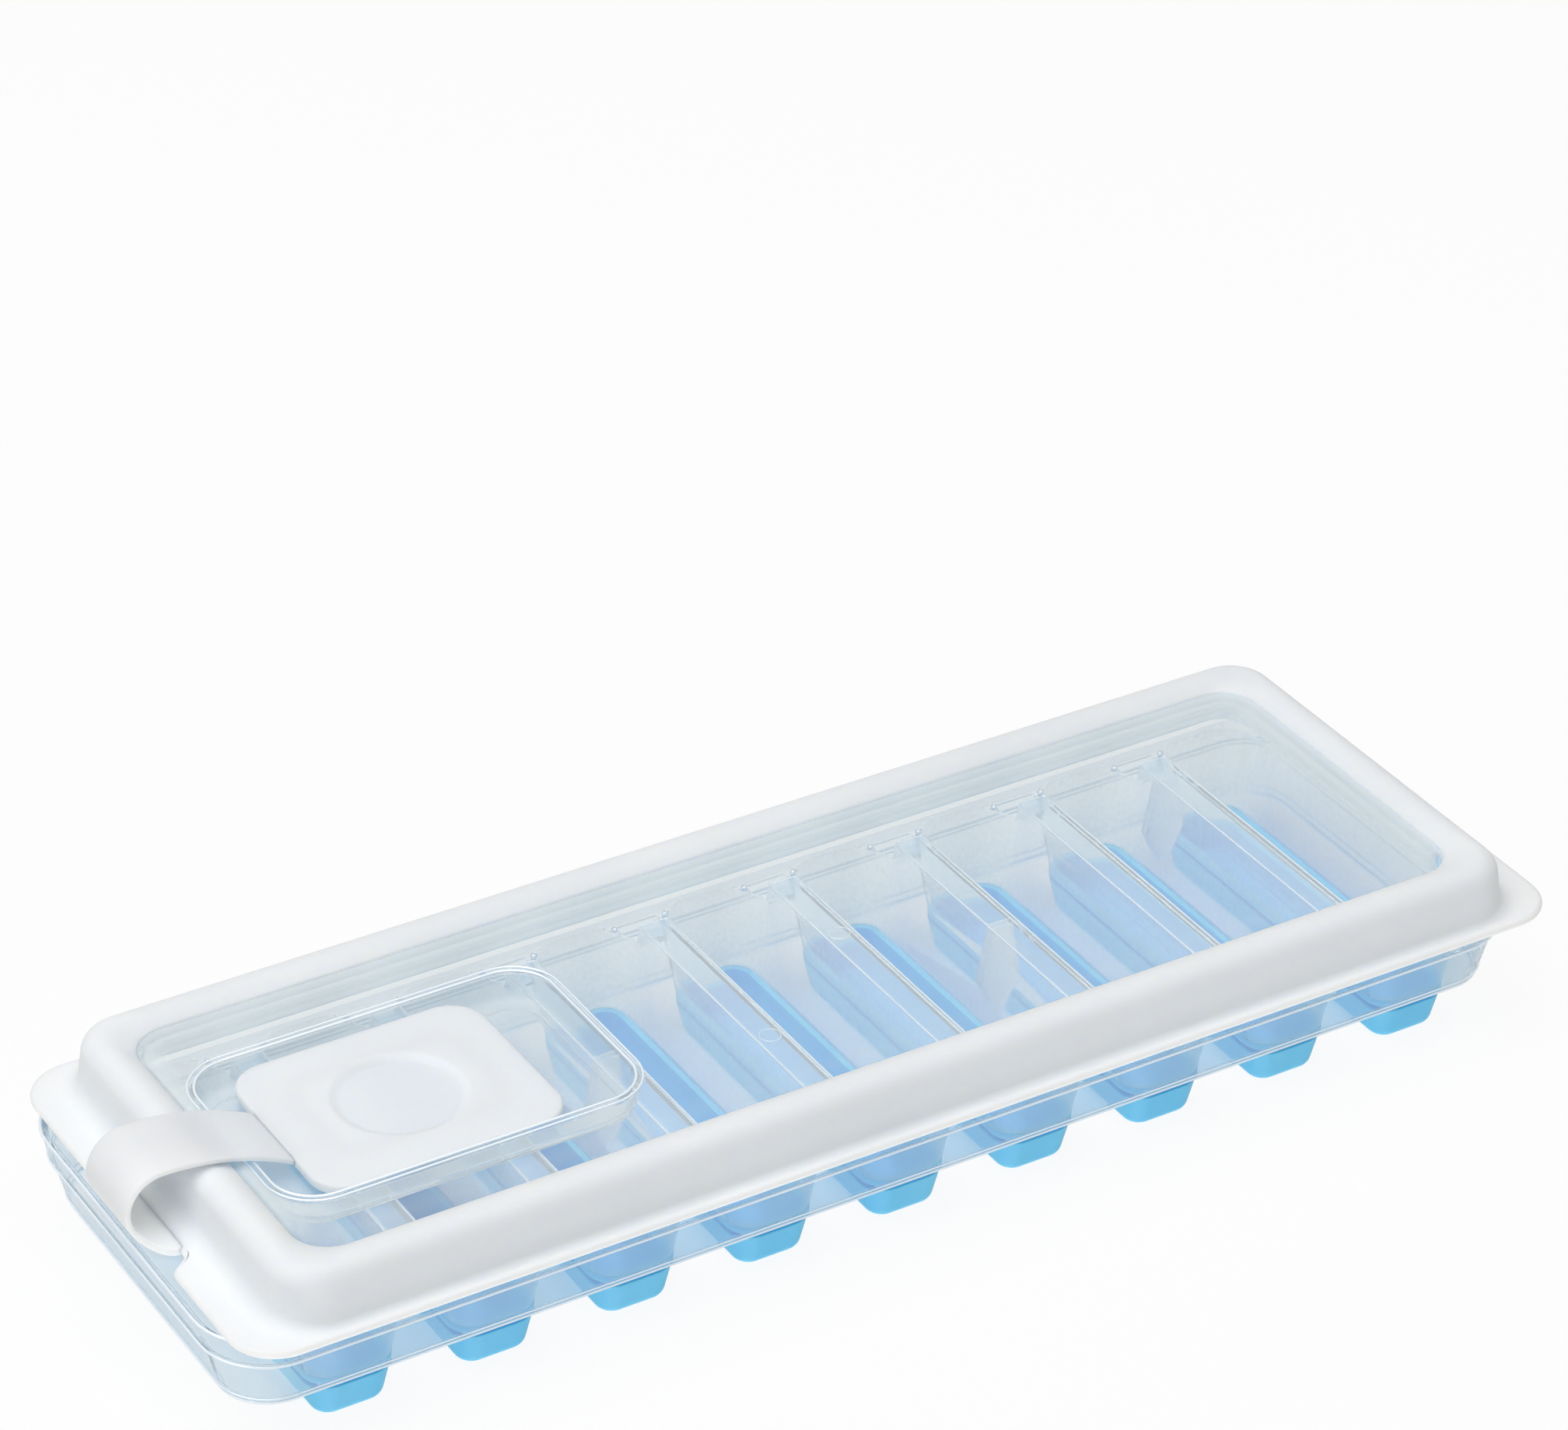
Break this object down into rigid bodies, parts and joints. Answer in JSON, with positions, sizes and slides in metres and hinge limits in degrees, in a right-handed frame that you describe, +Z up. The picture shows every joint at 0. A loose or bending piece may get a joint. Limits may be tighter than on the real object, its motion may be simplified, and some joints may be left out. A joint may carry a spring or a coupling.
{
  "type": "ice stick mold",
  "caption": "Clear freezer tray for long ice sticks with soft blue push-out troughs, a white framed clear lid and a strapped fill plug",
  "frame": {"origin": "middle of the plane that the soft troughs rest on", "axes": "X along the row of sticks with the strap at the -X end, Y across the tray along each stick, Z up"},
  "size_m": [0.2941, 0.101, 0.0435],
  "materials": {
    "clear": "clear, slightly hazy moulded plastic",
    "white": "soft white plastic with a fine matte surface",
    "blue": "soft sky blue elastomer, satin"
  },
  "bodies": {
    "tray": {"tray": "clear", "trough_1": "blue", "trough_2": "blue", "trough_3": "blue", "trough_4": "blue", "trough_5": "blue", "trough_6": "blue", "trough_7": "blue", "trough_8": "blue", "trough_9": "blue"},
    "lid": {"lid_frame": "white", "lid_window": "clear", "strap_root": "white"},
    "plug": {"fill_plug": "white", "strap_arm": "white"}
  },
  "joints": [
    {"name": "lid_lift", "type": "slide", "parent": "tray", "child": "lid", "axis": [0, 0, 1], "range_m": [0, 0.06]},
    {"name": "plug_swing", "type": "hinge", "parent": "lid", "child": "plug", "pos_m": [-0.14908, 0, 0.03562], "axis": [0, -1, 0], "range_deg": [0, 120]}
  ]
}
